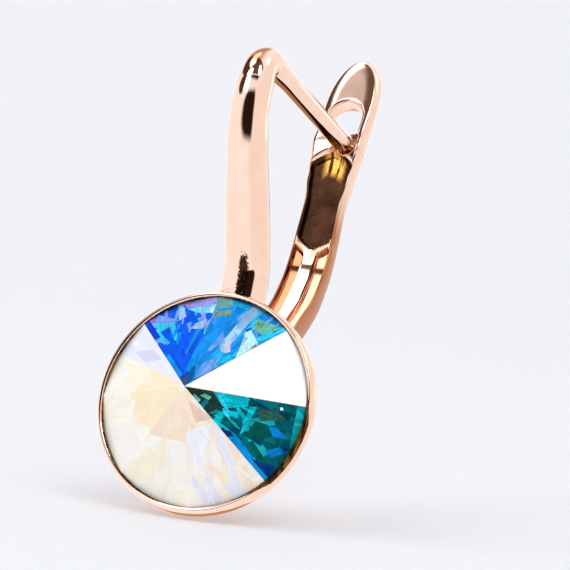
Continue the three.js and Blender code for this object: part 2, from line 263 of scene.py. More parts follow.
# %% Paint the patches over the tent's cloth
def share_of_way(tree, angle, middle_and_half, power):
    """How far an angle is from the middle of a patch: 1 at its edge."""
    middle, half = (math.radians(a) for a in middle_and_half)
    away = add(tree, "ShaderNodeMath", {0: angle, 1: middle}, operation="SUBTRACT").outputs[0]
    short_way = add(tree, "ShaderNodeMath", {0: away, 1: math.pi, 2: -math.pi}, operation="WRAP").outputs[0]
    scaled = add(tree, "ShaderNodeMath", {0: short_way, 1: 1 / half}, operation="MULTIPLY").outputs[0]
    size = add(tree, "ShaderNodeMath", {0: scaled}, operation="ABSOLUTE").outputs[0]
    return add(tree, "ShaderNodeMath", {0: size, 1: float(power)}, operation="POWER").outputs[0]


seen = add(tree, "ShaderNodeRGB")
seen.outputs[0].default_value = [TENT_SEEN * part for part in linear("#FCFBFF")]
seen = seen.outputs[0]
for row in ROOM:
    far = add(tree, "ShaderNodeMath", {0: share_of_way(tree, azimuth, row["azimuth"], row["power"]),
                                       1: share_of_way(tree, elevation, row["elevation"], row["power"])})
    inside = add(tree, "ShaderNodeMapRange",
                 {"Value": far.outputs[0], "From Min": 1 + 2 * row["soft"], "From Max": 1 - row["soft"]})
    tone = [row["light"] * part for part in linear(row["tone"])]
    seen = add(tree, "ShaderNodeMix", {"Factor": inside.outputs[0], "A": seen, "B": tone},
               data_type="RGBA").outputs["Result"]
# Only reflections see this painted room: the tent's cloth lights everything else evenly.
path = add(tree, "ShaderNodeLightPath")
fill = [TENT_FILL * part for part in linear("#FCFCFF")]
tent_or_room = add(tree, "ShaderNodeMix", {"Factor": path.outputs["Is Glossy Ray"], "A": fill, "B": seen},
                   data_type="RGBA")
tree.links.new(tent_or_room.outputs["Result"], tree.nodes["Background"].inputs["Color"])

# %% The softboxes that give the light and the soft shadows, with their widths seen from the earring
SOFTBOXES = rows_of(
    "name azimuth elevation wide tall light",
    ("softbox_right", 44, 55, 44, 36, 1.35),
    ("softbox_left", -62, 41, 44, 30, 1.6),
    ("softbox_behind", 130, 22, 24, 18, 1.5),
)
SOFTBOX_DISTANCE = 0.6
STONE_PLACE = Vector((0, 0, -0.008))
for row in SOFTBOXES:
    lamp = bpy.data.lights.new(row["name"], "AREA")
    lamp.shape = "RECTANGLE"
    lamp.size, lamp.size_y = (2 * SOFTBOX_DISTANCE * math.tan(math.radians(row[side] / 2))
                              for side in ("wide", "tall"))
    lamp.energy = row["light"] * math.pi * lamp.size * lamp.size_y
    az, el = math.radians(row["azimuth"]), math.radians(row["elevation"])
    out = Vector((math.sin(az) * math.cos(el), -math.cos(az) * math.cos(el), math.sin(el)))
    box = bpy.data.objects.new(row["name"], lamp)
    box.location = STONE_PLACE + out * SOFTBOX_DISTANCE
    box.rotation_euler = out.to_track_quat("Z", "Y").to_euler()
    box.visible_glossy = False  # the painted room already shows these lamps
    bpy.context.collection.objects.link(box)

# %% The paper
# It is matt and nearly even. Its fibres clump into faint clouds about a millimetre across.
CLOUDS_PER_METRE = 900.0
paper, tree, shader = new_material("white_seamless_paper")
grain = add(tree, "ShaderNodeTexNoise", {"Scale": CLOUDS_PER_METRE, "Detail": 4.0})
tint = add(tree, "ShaderNodeValToRGB", {"Fac": grain.outputs["Fac"]})
tint.color_ramp.elements[0].color = linear("#F4F5F8")
tint.color_ramp.elements[1].color = linear("#F7F8FB")
tree.links.new(tint.outputs["Color"], shader.inputs["Base Color"])
shader.inputs["Roughness"].default_value = 0.9

# %% The floor and backdrop in one sweep
FLOOR, PAPER_HALF, CURVE_START, CURVE_RADIUS, PAPER_TOP = -21.35, 900, 120, 150, 700
profile = [(-PAPER_HALF, 0), (CURVE_START, 0)]
profile += [(CURVE_START + CURVE_RADIUS * math.sin(a), CURVE_RADIUS - CURVE_RADIUS * math.cos(a))
            for a in np.linspace(0.05, math.pi / 2, 24)]
profile += [(CURVE_START + CURVE_RADIUS, PAPER_TOP)]
sweep = bpy.data.meshes.new("seamless_paper")
sweep.from_pydata(
    [(x / 1000, y / 1000, (FLOOR + z) / 1000) for y, z in profile for x in (-PAPER_HALF, PAPER_HALF)], [],
    [(2 * i, 2 * i + 1, 2 * i + 3, 2 * i + 2) for i in range(len(profile) - 1)],
)
sweep.shade_smooth()
sweep.materials.append(paper)
backdrop = bpy.data.objects.new("seamless_paper", sweep)
bpy.context.collection.objects.link(backdrop)
backdrop.visible_glossy = False  # the tent already stands for it in every reflection


# %% [markdown]
# ## Polished rose gold
# The metal is a cast brass body under rose-gold plate, tumbled and buffed to a mirror. To the eye it is
# a sharp mirror tinted pink, so roughness is low and the colour sits in the reflection. Casting and hand
# buffing leave it faintly uneven, with hairline scratches, and the solder joint at the bar's foot is pitted.

# %% The rose-gold plate
# The casting's waves are about a millimetre apart. Real buffing marks are about 0.01 mm wide, too fine
# to show here, so their grain is drawn ten times as coarse.
WAVES_PER_METRE, GRAINS_PER_METRE = 900.0, 9000.0
rose_gold, tree, shader = new_material("polished_rose_gold_plate")
shader.inputs["Metallic"].default_value = 1.0
place = add(tree, "ShaderNodeTexCoord").outputs["Object"]
waves = add(tree, "ShaderNodeTexNoise", {"Vector": place, "Scale": WAVES_PER_METRE, "Detail": 1.0})
buff = add(tree, "ShaderNodeTexNoise", {"Vector": place, "Scale": GRAINS_PER_METRE, "Detail": 3.0})
tone = add(tree, "ShaderNodeValToRGB", {"Fac": waves.outputs["Fac"]})
tone.color_ramp.elements[0].position = 0.3
tone.color_ramp.elements[0].color = linear("#EDCBB8")
tone.color_ramp.elements[1].position = 0.7
tone.color_ramp.elements[1].color = linear("#F2D2C0")

# %% The darkened and the deep-coloured places, painted shade and reflections
# In the lever's pocket the plate is painted dark brown: partly a duller finish where the buffing wheel does
# not reach, and partly painted shade and dark reflection. Golden streaks 0.2 mm wide and 1.7 mm long are
# painted reflections.
STREAKS_PER_METRE = (5000.0, 1100.0, 600.0)
plate = add(tree, "ShaderNodeVertexColor", layer_name="plate")
pocket = add(tree, "ShaderNodeSeparateColor", {"Color": plate.outputs["Color"]})
along = add(tree, "ShaderNodeMapping", {"Vector": place, "Scale": STREAKS_PER_METRE})
streaks = add(tree, "ShaderNodeTexNoise", {"Vector": along.outputs["Vector"], "Scale": 1.0, "Detail": 2.0})
streak = add(tree, "ShaderNodeMapRange",
             {"Value": streaks.outputs["Fac"], "From Min": 0.4, "From Max": 0.56})
golden = add(tree, "ShaderNodeMath", {0: streak.outputs["Result"], 1: pocket.outputs["Green"]},
             operation="MULTIPLY")
# The same dark brown sits in ragged patches at the foot of the bar, and as painted shade in the groove along
# the lip.
rough_edge = add(tree, "ShaderNodeMath", {0: buff.outputs["Fac"], 1: 0.8, 2: pocket.outputs["Red"]},
                 operation="MULTIPLY_ADD")
dark_share = add(tree, "ShaderNodeMapRange",
                 {"Value": rough_edge.outputs[0], "From Min": 0.85, "From Max": 1.0})
painted_dark_brown = add(tree, "ShaderNodeMix", {"Factor": waves.outputs["Fac"], "A": linear("#140C08"),
                                    "B": linear("#4C3022")}, data_type="RGBA")
darkened = add(tree, "ShaderNodeMix", {"Factor": golden.outputs[0], "A": painted_dark_brown.outputs["Result"],
                                   "B": linear("#E0A450")}, data_type="RGBA")
# In the grooves, where the metal reflects itself many times, that reflection's deeper orange is painted into
# its colour.
deep = add(tree, "ShaderNodeMix", {"Factor": pocket.outputs["Blue"], "A": tone.outputs["Color"],
                                   "B": linear("#AE6E42")}, data_type="RGBA")
plate_tone = add(tree, "ShaderNodeMix", {"Factor": dark_share.outputs["Result"], "A": deep.outputs["Result"],
                                         "B": darkened.outputs["Result"]}, data_type="RGBA")
tree.links.new(plate_tone.outputs["Result"], shader.inputs["Base Color"])

# %% Gloss and relief
# The gloss varies a little everywhere, and the lever's loop, which the hand rubs, is worn to a softer shine.
gloss = add(tree, "ShaderNodeMapRange", {"Value": buff.outputs["Fac"], "To Min": 0.04, "To Max": 0.1})
worn = add(tree, "ShaderNodeMath", {0: plate.outputs["Alpha"], 1: 0.12, 2: gloss.outputs["Result"]},
           operation="MULTIPLY_ADD")
tree.links.new(worn.outputs[0], shader.inputs["Roughness"])
hammer = add(tree, "ShaderNodeBump", {"Height": waves.outputs["Fac"], "Strength": 0.04, "Distance": 0.0001})
pits = add(tree, "ShaderNodeBump", {"Height": buff.outputs["Fac"], "Strength": dark_share.outputs["Result"],
                                    "Distance": 0.00002, "Normal": hammer.outputs["Normal"]})
tree.links.new(pits.outputs["Normal"], shader.inputs["Normal"])

# %% Marks on a piece: where the plate is worn, and where it is darkened, golden or deep in colour, which mostly paints shade and reflections
def mark_plate(piece, darkened, streaked=0.0, deep=0.0, worn=0.0):
    """Store the four shares for each point, as the parts of one colour."""
    layer = piece.data.color_attributes.new("plate", "FLOAT_COLOR", "POINT")
    columns_of = [np.broadcast_to(part, darkened.shape) for part in (darkened, streaked, deep, worn)]
    layer.data.foreach_set("color", np.column_stack(columns_of).ravel())


def bump_at(value, middle, half):
    """1 at the middle of a range, 0 at its ends and beyond."""
    return 1 - ease(np.abs((value - middle + 180) % 360 - 180), 0, half)


# %% [markdown]
# ## Bezel cup
# The cup is spun or turned: a thin wall round the stone, closed by a cone behind it. Its lip is rolled in
# over the stone's edge and burnished, which leaves a soft rounded rim. A profile turned about the stone's
# axis gives exactly that, and fine steps keep the long highlights clean.

# %% Turn the cup
def arc(middle, radii, start, end, steps):
    angles = np.radians(np.linspace(start, end, steps))
    return [(middle[0] + radii[0] * np.cos(a), middle[1] - radii[1] * np.sin(a)) for a in angles]


def turned(profile, steps=256):
    angles = np.linspace(0, 2 * np.pi, steps, endpoint=False)
    return np.array([[(r * np.cos(a), depth, r * np.sin(a)) for a in angles] for r, depth in profile])


LIP_INNER_ROLL, BACK_EDGE = 0.17, (0.3, 0.2)
lip_crest = lip_radius + LIP_INNER_ROLL
under_lip = girdle_front - CLEARANCE - LIP_OVERHANG * crown_slope
cup_profile = [
    (cup_bore, under_lip), (lip_radius, under_lip),
    *arc((lip_crest, LIP_INNER_ROLL), (LIP_INNER_ROLL, LIP_INNER_ROLL), 180, 90, 12),
    *arc((lip_crest, LIP_ROLL), (cup_radius - lip_crest, LIP_ROLL), 90, 0, 16)[1:],
    (cup_radius, girdle_back),
    *arc((cup_radius - BACK_EDGE[0], girdle_back), BACK_EDGE, -5, -55, 8),
    (CUP_BACK_RADIUS, cup_back - 0.06), (CUP_BACK_RADIUS - 0.1, cup_back), (0.01, cup_back),
]
inside = [(0.01, cup_back - CUP_FLOOR), (cup_bore, girdle_back + CLEARANCE)]
points, faces = skin(turned([*inside, *cup_profile]))
cup = make_piece("bezel_cup", points, faces, rose_gold, "setting", "setting", crease=50)

# %% Paint shade into the groove between lip and stone as dark brown, widest at the lower right, with a little painted golden reflection
x, _, z = points.T
radius, around_lip = np.hypot(x, z), np.degrees(np.arctan2(z, x))
groove = 0.045 + 0.4 * bump_at(around_lip, -22, 46) + 0.06 * bump_at(around_lip, 70, 50) \
    + 0.05 * bump_at(around_lip, -125, 50)
on_lip = (points[:, 1] < under_lip + 0.01) & (radius > lip_radius - 0.01)
mark_plate(cup, on_lip * (1 - ease(radius - lip_radius, groove - 0.05, groove + 0.05)), on_lip * 0.25)

# %% [markdown]
# ## Front bar and ear wire
# One rod is drawn, curved forward over the cup, bent back at the top and thinned to a round wire with a
# rounded tip. Its section changes from a soft rectangle to a circle, so it is a sweep whose oval section
# fills out or rounds off along the way.

# %% Rings along the bar, the bend and the wire
BAR_TABLE = rows_of(
    "at reach width thickness power",
    (0.1, 0.0, 1.16, 0.9, 2.5),
    (0.44, 0.0, 1.12, 0.94, 2.5),
    (0.52, 0.13, 1.07, 0.99, 2.5),
    (0.64, 0.42, 1.02, 1.03, 2.5),
    (0.8, 0.82, 0.96, 1.01, 2.4),
    (0.91, 0.99, 0.91, 0.96, 2.3),
    (1.0, 1.0, 0.88, 0.92, 2.2),
)


def oval(width, thickness, power, sides=96):
    angles = (np.arange(sides) + 0.5) / sides * 2 * np.pi
    c, s = np.cos(angles), np.sin(angles)
    reach = np.sign(c) * np.abs(c) ** (2 / power), np.sign(s) * np.abs(s) ** (2 / power)
    return np.column_stack([reach[0] * width / 2, reach[1] * thickness / 2])


def ring_at(point, tangent, section):
    back = np.array([0, tangent[2], -tangent[1]]) / math.hypot(tangent[1], tangent[2])
    return np.array([np.array([u, 0, 0]) + point + v * back for u, v in section])


feet = [(0, BAR_SET_BACK - r["reach"] * BAR_REACH, r["at"] * bend_start) for r in BAR_TABLE]
rise = curve_through(feet, 200)
top = BAR_TABLE[-1]
rings = []
for point, tangent in list(zip(rise, np.gradient(rise, axis=0)))[:-1]:
    share = point[2] / bend_start
    width, thickness, power = (float(column(BAR_TABLE, n, share)) for n in ("width", "thickness", "power"))
    rings.append(ring_at(point, tangent, oval(BAR_WIDTH * width, BAR_THICKNESS * thickness, power)))
for way in np.linspace(0, 1, 60):
    angle = way * math.pi / 2
    y, z = bend_centre - BEND_RADIUS * math.cos(angle), bend_start + BEND_RADIUS * math.sin(angle)
    width = BAR_WIDTH * top["width"] * (1 - way) + WIRE_ROOT * way
    thickness = BAR_THICKNESS * top["thickness"] * (1 - way) + WIRE_ROOT * way
    section = oval(width, thickness, top["power"] * (1 - way) + 2 * way)
    rings.append(ring_at((0, y, z), (0, math.sin(angle), math.cos(angle)), section))
round_start = WIRE_LENGTH - WIRE_DIAMETER / 2
runs = [(run, WIRE_ROOT + (WIRE_DIAMETER - WIRE_ROOT) * ease(run, 0, WIRE_TAPER))
        for run in np.linspace(0, round_start, 90)[1:]]
runs += [(round_start + WIRE_DIAMETER / 2 * math.sin(a), WIRE_DIAMETER * math.cos(a))
         for a in np.radians(np.linspace(6, 88, 16))]
for run, diameter in runs:
    point = (WIRE_SWEEP * run / WIRE_LENGTH, bend_centre + run, WIRE_HEIGHT)
    rings.append(ring_at(point, (0, 1, 0), oval(diameter, diameter, 2)))
points, faces = skin(rings)
bar = make_piece("bar_and_ear_wire", points, faces, rose_gold, "setting", "setting", crease=60)

# %% Darken a ragged patch at the foot of the bar's front, with golden marks on its right
x, y, z = points.T
in_front = y < 1.6
foot_dark_patch = 0.8 * (1 - ease(np.abs(x - 0.2), 0.08, 0.48)) * (1 - ease(z, 7.1, 8.4)) * in_front
low_dark_patch = 0.49 * (1 - ease(np.abs(x + 0.35), 0.4, 0.7)) * (1 - ease(z, 5.7, 6.5)) * in_front
# The front of the bend is painted a deeper orange-brown, a painted dark reflection.
top_place, top_height = y[z.argmax()], z.max()
crest = (1 - ease(np.abs(x + 0.1), 0.3, 0.55)) * ease(z, top_height - 1.6, top_height - 1.2) \
    * (y < top_place - 0.1)
# The ear wire's underside faces the lever: its orange reflection of the lever is painted into its colour.
normals = np.zeros(3 * len(points))
bar.data.vertices.foreach_get("normal", normals)
across_normal, _, up_normal = normals.reshape(-1, 3).T
wire = ease(y, top_place + 0.6, top_place + 1.2) * (z > top_height - 6)
underside = wire * (1 - ease(across_normal, 0.25, 0.5)) * (1 - ease(up_normal, -0.3, 0.0))
mark_plate(bar, np.maximum(foot_dark_patch, low_dark_patch), 0.5 * (z < 6.8) * (x > 0.3),
           np.maximum(0.8 * crest, 0.6 * underside))


# %% [markdown]
# ## Hinge lug
# A plate stands out of the cup's back and ends round about the hinge pin. It is sawn or stamped from
# sheet with its edges broken. A flat outline with a hole, given thickness and a small bevel, is how
# Blender's curves make such a plate.

# %% Plates cut to an outline
def plate(name, outline, hole, thickness, across, bevel, finish, body, node):
    curve = bpy.data.curves.new(name, "CURVE")
    curve.dimensions = "2D"
    curve.fill_mode = "BOTH"
    curve.extrude = thickness / 2 - bevel
    curve.bevel_depth = bevel
    curve.bevel_resolution = 4
    curve.offset = -bevel
    for loop in (outline, hole):
        spline = curve.splines.new("POLY")
        spline.points.add(len(loop) - 1)
        spline.points.foreach_set("co", [v for y, z in loop for v in (y, z, 0, 1)])
        spline.use_cyclic_u = True
    sheet = bpy.data.meshes.new_from_object(bpy.data.objects.new(name, curve))
    co = np.empty(len(sheet.vertices) * 3)
    sheet.vertices.foreach_get("co", co)
    co = co.reshape(-1, 3)
    points = np.column_stack([co[:, 2] + across, co[:, 0], co[:, 1]])
    faces = [list(p.vertices) for p in sheet.polygons]
    return make_piece(name, points, faces, finish, body, node, crease=35)


def circle(middle, radius, start=0, end=360, steps=64):
    angles = np.radians(np.linspace(start, end, steps, endpoint=end - start < 360))
    return [(middle[0] + radius * np.cos(a), middle[1] + radius * np.sin(a)) for a in angles]


pivot = (pivot_place, PIVOT_HEIGHT)
lug_top = PIVOT_HEIGHT + HINGE_RADIUS
cone_at_top = girdle_back + (cup_radius - lug_top) * (cup_back - girdle_back) / (cup_radius - CUP_BACK_RADIUS)
lug_outline = [
    (cup_back - CUP_FLOOR, -HINGE_RADIUS), (pivot_place, PIVOT_HEIGHT - HINGE_RADIUS),
    *circle(pivot, HINGE_RADIUS, -90, 90, 40), (cone_at_top - CUP_WALL, lug_top),
]
bore = circle(pivot, PIN_DIAMETER / 2 + PIN_CLEARANCE)
plate("hinge_lug", lug_outline, bore, LUG_THICKNESS, 0, 0.06, rose_gold, "setting", "setting")

# %% [markdown]
# ## Hinge pin
# A short length of wire through lug and cheeks, its ends peened into low domes that keep it in.

# %% The peened pin
half = LEVER_WIDTH / 2 + PIN_HEAD
dome = [(half - PIN_HEAD * (1 - math.cos(a)), PIN_DIAMETER / 2 * math.cos(a * 0.98))
        for a in np.linspace(math.pi / 2, 0, 10)]
stations = [(-x, r) for x, r in dome] + [(x, r) for x, r in reversed(dome)]
rings = [[(x, pivot_place + r * np.cos(a), PIVOT_HEIGHT + r * np.sin(a))
          for a in np.linspace(0, 2 * np.pi, 48, endpoint=False)] for x, r in stations]
points, faces = skin(rings)
make_piece("hinge_pin_peened", points, faces, rose_gold, "setting", "hinge_pin", crease=50)

# %% [markdown]
# ## Lever
# The lever is a cast strap: rails along both edges, a sunk panel between them, a rib lower down that
# forks out to the rails, a notch for the wire's tip, and a loop on top to pull it open by. It is laid out
# flat first, as a sheet with the loop's hole in it. Front and back then stand off that sheet by heights
# that depend on the place, fall away at every edge, and are bent along the lever's curve.

# %% The lever's axis and widths along it
LEVER_TABLE = rows_of(
    "at back width thickness panel",
    (0.0, 0.0, 1.0, 1.3, 0.0),
    (0.12, 0.2, 1.0, 1.3, 0.1),
    (0.24, 0.42, 1.02, 1.25, 1.0),
    (0.375, 0.7, 1.05, 1.15, 1.0),
    (0.49, 0.84, 1.04, 1.08, 1.0),
    (0.57, 0.89, 1.03, 1.04, 1.0),
    (0.63, 0.91, 1.01, 1.02, 1.0),
    (0.77, 0.945, 0.97, 1.0, 1.0),
    (0.86, 0.965, 1.11, 1.0, 1.0),
    (0.93, 0.985, 1.24, 1.0, 1.0),
    (0.97, 0.993, 1.3, 1.0, 0.0),
    (1.0, 1.0, 1.34, 1.0, 0.0),
)
AXIS_STEPS, BLUR_STEPS = 600, 20
reach = lever_at_wire - pivot_place
axis = curve_through(
    [(pivot_place + r["back"] * reach, PIVOT_HEIGHT + r["at"] * lever_rise) for r in LEVER_TABLE], AXIS_STEPS)
loop_top = (lever_at_wire + LOOP_LEAN, WIRE_HEIGHT + LOOP_RISE)
axis = np.vstack([axis, np.linspace(axis[-1], loop_top, 200)[1:]])
axis_run = np.r_[0, np.cumsum(np.linalg.norm(np.diff(axis, axis=0), axis=1))]
at_wire = axis_run[AXIS_STEPS - 1]
loop_run = axis_run[-1] - at_wire
loop_stretch = loop_run / LOOP_RISE
# The tangent is smoothed, so that the metal bends where the axis meets the straight loop.
tangents = np.gradient(axis, axis_run, axis=0)
blur = np.hanning(2 * BLUR_STEPS + 1)
blur = blur / blur.sum()
tangents = np.column_stack([np.convolve(np.pad(part, BLUR_STEPS, mode="edge"), blur, mode="valid")
                            for part in tangents.T])
tangents /= np.linalg.norm(tangents, axis=1)[:, None]


def height_at(run):
    return np.interp(run, axis_run, axis[:, 1])


def run_at(height):
    return float(np.interp(height, axis[:, 1], axis_run))


def strap_half_width(run):
    share = (height_at(run) - PIVOT_HEIGHT) / lever_rise
    return LEVER_WIDTH / 2 * column(LEVER_TABLE, "width", share)


# %% The outline, the hole and the sheet between them
foot_run = run_at(PIVOT_HEIGHT + HINGE_RADIUS + 0.05)
hole_run = at_wire + (hole_bottom - WIRE_HEIGHT) * loop_stretch
strap_end = at_wire - 0.35
columns = 64
share = np.linspace(-1, 1, columns + 1)
spread = np.sign(share) * (1 - (1 - np.abs(share)) ** 1.25)

shoulder = float(strap_half_width(at_wire))
rise_share = np.linspace(0, 1, 60)
legs = [(shoulder + (LOOP_WIDTH / 2 - shoulder) * math.sin(w * math.pi / 2),
         at_wire + w * LOOP_MIDDLE * loop_run) for w in rise_share]
arch = [(LOOP_WIDTH / 2 * math.cos(a), at_wire + (LOOP_MIDDLE + (1 - LOOP_MIDDLE) * math.sin(a)) * loop_run)
        for a in np.linspace(0, math.pi / 2, 90)[1:]]
side_runs = np.linspace(strap_end, at_wire, 12)[:-1]
right = [(float(strap_half_width(s)), s) for s in side_runs] + legs + arch
outer = np.array([(-x, s) for x, s in right] + [(x, s) for x, s in right[-2::-1]])

spring = hole_run + HOLE_HEIGHT / 2 * loop_stretch
corner = 0.25
hole_right = [(HOLE_WIDTH / 2 - corner + corner * math.sin(a), hole_run + corner - corner * math.cos(a))
              for a in np.linspace(0.4, math.pi / 2, 12)]
hole_right += [(HOLE_WIDTH / 2 * math.cos(a), spring + HOLE_HEIGHT / 2 * loop_stretch * math.sin(a))
               for a in np.linspace(0, math.pi / 2, 60)]
inner = np.array([(-x, s) for x, s in hole_right] + [(x, s) for x, s in hole_right[-2::-1]])

around = 200
outer, inner = resampled(outer, around), resampled(inner, around)
strap_runs = np.linspace(foot_run, strap_end, 190)
strap = np.array([[(x * float(strap_half_width(s)), s) for x in spread] for s in strap_runs])
low_inner = np.column_stack([np.interp(spread, (-1, 1), (inner[0][0], inner[-1][0])),
                             np.full(columns + 1, hole_run)])
low_inner[0], low_inner[-1] = inner[0], inner[-1]
bow = 0.06 * (np.abs(spread) ** 6)
low_inner[1:-1, 1] += bow[1:-1]

# %% Join the strap's rows to the rings about the hole
sheet_points, index_of = [], {}


def sheet_vertex(point):
    key = (round(float(point[0]), 5), round(float(point[1]), 5))
    if key not in index_of:
        index_of[key] = len(sheet_points)
        sheet_points.append(key)
    return index_of[key]


def grid_faces(grid):
    index = [[sheet_vertex(p) for p in row] for row in grid]
    return [(a, b, c, d) for low, high in zip(index, index[1:])
            for a, b, c, d in zip(low, low[1:], high[1:], high) if len({a, b, c, d}) == 4]


steps = 0.5 - 0.5 * np.cos(np.linspace(0, np.pi, 25))
upper = np.array([outer + (inner - outer) * t for t in steps])
lower = np.array([strap[-1] + (low_inner - strap[-1]) * t for t in steps])
sheet_faces = grid_faces(strap) + grid_faces(upper) + grid_faces(lower)
sheet = np.array(sheet_points)
print(f"lever sheet: {len(sheet)} points")


# %% Heights of the front and the back over the sheet
def distance_to(line, points, chunk=2000):
    a, b = line[:-1], line[1:]
    ab = b - a
    nearest = []
    for start in range(0, len(points), chunk):
        p = points[start:start + chunk, None]
        t = np.clip(((p - a) * ab).sum(-1) / np.maximum((ab * ab).sum(-1), 1e-12), 0, 1)
        nearest.append(np.linalg.norm(p - (a + ab * t[..., None]), axis=-1).min(axis=1))
    return np.concatenate(nearest)


def rolled(distance, radius):
    gone = radius - np.clip(distance, 0, radius)
    return radius - np.sqrt(np.maximum(radius ** 2 - gone ** 2, 0))


edge_line = np.vstack([strap[:, 0], outer[1:], strap[::-1, -1]])
hole_line = np.vstack([inner, low_inner[::-1]])
to_edge, to_hole = distance_to(edge_line, sheet), distance_to(hole_line, sheet)
run = sheet[:, 1]
upness = (height_at(run) - PIVOT_HEIGHT) / lever_rise
half_width = strap_half_width(np.minimum(run, at_wire))
u = np.abs(sheet[:, 0]) / half_width
thickness = LEVER_THICKNESS * column(LEVER_TABLE, "thickness", np.minimum(upness, 1))

fork_place = run_at(PIVOT_HEIGHT + 0.585 * lever_rise)
pocket_top = run_at(PIVOT_HEIGHT + 0.985 * lever_rise) - 0.9 * u ** 1.5
sunk = column(LEVER_TABLE, "panel", np.minimum(upness, 0.8))
panel = PANEL_DEPTH * sunk * (1 - ease(u, 0.8, 0.9)) * (1 - ease(run, pocket_top - 0.5, pocket_top))
panel *= 1 + 0.4 * ease(run, fork_place, fork_place + 0.6)
rib = RIB_HEIGHT * np.maximum(1 - (u / 0.38) ** 2, 0) ** 0.6 * sunk \
    * (1 - ease(run, fork_place - 0.1, fork_place + 0.15))
fork = fork_place - 0.3 + 0.8 * u * half_width
fork_arm = 0.42 * np.maximum(1 - ((run - fork) / 0.34) ** 2, 0) ** 0.6 * (1 - ease(u, 0.88, 1.0))
raised = np.maximum(rib, fork_arm)
notch_way = np.hypot(sheet[:, 0] - (WIRE_SWEEP - LEVER_SWAY), np.minimum(run - at_wire, 0))
notch = (NOTCH_DEPTH + 0.02) * (1 - ease(notch_way, 0.5, 0.66)) * (run < hole_run + 0.01)

# The rims beside the panel are thin, and the shoulders and the loop above are rounded more.
HOLE_EDGE = 0.15
rim_roll = 0.13 + 0.17 * ease(upness, 0.84, 0.95)
loop_share = ease(run, at_wire, at_wire + 1.2)
dome_fall = 0.16 * loop_share * (1 - np.clip(to_edge / 0.75, 0, 1)) ** 2
fallen = np.maximum(rolled(to_edge, rim_roll), rolled(to_hole, HOLE_EDGE))
front = -thickness / 2 + np.maximum(panel - raised, notch) + fallen + dome_fall
back = thickness / 2 - fallen - dome_fall


# %% Bend the two faces along the lever's axis and close them round every edge
def on_lever(across, run, offset):
    y, z = (np.interp(run, axis_run, line) for line in axis.T)
    ty, tz = (np.interp(run, axis_run, line) for line in tangents.T)
    sway = LEVER_SWAY * np.minimum(1, (z - PIVOT_HEIGHT) / lever_rise)
    return np.column_stack([across + sway, y + tz * offset, z - ty * offset])


count = len(sheet)
points = np.vstack([on_lever(sheet[:, 0], run, front), on_lever(sheet[:, 0], run, back)])
uses = {}
for face in sheet_faces:
    for a, b in zip(face, face[1:] + face[:1]):
        uses[(a, b)] = uses.get((a, b), 0) + 1
open_edges = [(a, b) for a, b in uses if (b, a) not in uses]
faces = [list(f) for f in sheet_faces] + [[v + count for v in reversed(f)] for f in sheet_faces]
faces += [[b, a, a + count, b + count] for a, b in open_edges]
print(f"open edges closed: {len(open_edges)}")
lever = make_piece("lever_strap_and_loop", points, faces, rose_gold, "lever", "lever", crease=40)

# %% Mark the pocket's painted dark brown and the painted golden reflections at its upper end, a little right of its middle
across = sheet[:, 0] / half_width
depth_share = np.clip((panel - raised) / PANEL_DEPTH, 0, 1)
above_fork = ease(run, fork - 0.1, fork + 0.3)
in_pocket = ease(depth_share, 0.25, 0.9) * above_fork
streaked = ease(run, pocket_top - 1.7, pocket_top - 1.1) * (1 - ease(np.abs(across - 0.08), 0.25, 0.55))

# %% Mark painted orange reflections beside the rib, on the fork's right arm, about the notch and on the lower edges
flanks = ease(u, 0.28, 0.42) * (1 - above_fork) * (run < fork_place + 1.5) * np.where(across > 0, 0.65, 1.0)
right_arm = (fork_arm > 0.02) * (across > 0)
near_notch = (1 - ease(notch_way, 0.55, 0.95)) * (run < hole_run)
lower_edge = ease(u, 0.8, 0.93) * (1 - ease(run, fork_place + 1, fork_place + 4))
painted_reflection_tone = np.maximum.reduce([0.9 * flanks, 0.7 * right_arm, 0.6 * near_notch, lower_edge])
# The loop and the lever's head are worn. On the back only the lower edges' painted reflections and the wear
# carry over.
worn = np.maximum(0.7 * loop_share, 0.5 * ease(upness, 0.84, 0.9) * (depth_share < 0.2))
back_side = np.zeros(count)
mark_plate(lever, np.r_[in_pocket, back_side], np.r_[streaked, back_side],
           np.r_[painted_reflection_tone, lower_edge], np.r_[worn, worn])

# %% [markdown]
# ## Lever cheeks
# Below the strap the lever is forked: two cheeks reach down either side of the lug and turn on the pin.
# Each is a plate cut round about the pin, like the lug between them.

# %% The two cheeks
cheek_gap = LUG_THICKNESS + 2 * FORK_CLEARANCE
cheek = (LEVER_WIDTH - cheek_gap) / 2
shoulder_run = foot_run + 0.7
(y, z), (ty, tz) = ([np.interp(shoulder_run, axis_run, line) for line in pair.T] for pair in (axis, tangents))
NECK_HALF = 0.6
cheek_outline = [
    *circle(pivot, HINGE_RADIUS, 135, 350, 48),
    (y + tz * NECK_HALF, z - ty * NECK_HALF), (y - tz * NECK_HALF, z + ty * NECK_HALF),
]
for side in (-1, 1):
    across = side * (cheek_gap + cheek) / 2
    plate(f"lever_cheek_{'left' if side < 0 else 'right'}", cheek_outline, bore, cheek, across, 0.05,
          rose_gold, "lever", "lever")

# %% [markdown]
# ## Crystal
# The stone is a pointed round of lead-free glass: eight flat wedges rise to a point in front, and its
# back is foiled. An iridescent coating turns what the foil throws back blue, teal or peach, wedge by
# wedge, broken into shards by the facets behind. Tracing light through such a stone is slow and never
# lands on the same picture twice, so each wedge is cut into its shards instead, as planes of one solid.

